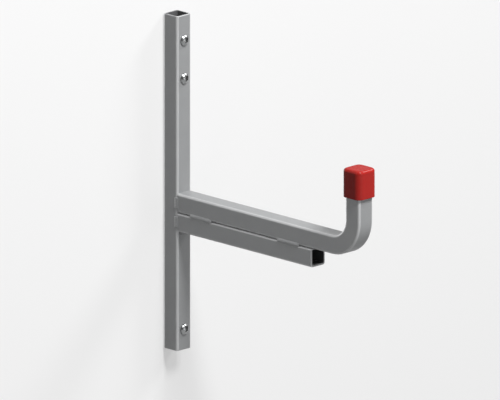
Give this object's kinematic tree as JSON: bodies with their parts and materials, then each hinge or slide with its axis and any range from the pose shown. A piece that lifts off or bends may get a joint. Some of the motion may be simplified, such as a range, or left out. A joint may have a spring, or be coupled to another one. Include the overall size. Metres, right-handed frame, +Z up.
{
  "type": "wall shelf bracket",
  "caption": "Wall bracket of square steel tube: an upright for screwing to the wall, a welded support arm and a hooked arm with a red push-on end cap, on which a board rests.",
  "frame": {"origin": "on the wall plane, midway across the tube, level with the hook arm's top face on which the board rests", "axes": "+Y into the wall, +Z up along the upright, +X to the right along the wall"},
  "size_m": [0.021, 0.27, 0.28],
  "materials": {
    "tube_steel": "satin grey coat on rolled steel tube",
    "weld_steel": "rippled weld bead under the same grey coat",
    "screw_zinc": "bright zinc plating",
    "cap_plastic": "glossy red moulded plastic"
  },
  "bodies": {
    "root": {"upright": "tube_steel", "support_arm": "tube_steel", "hook_arm": "tube_steel", "end_cap": "cap_plastic", "wall_screw_top": "screw_zinc", "wall_screw_upper": "screw_zinc", "wall_screw_bottom": "screw_zinc", "weld_bottom": "weld_steel", "weld_hook_left": "weld_steel", "weld_hook_right": "weld_steel", "weld_support_left": "weld_steel", "weld_support_right": "weld_steel", "stitch_weld_left_rear": "weld_steel", "stitch_weld_left_front": "weld_steel", "stitch_weld_right_rear": "weld_steel", "stitch_weld_right_front": "weld_steel"}
  },
  "joints": []
}
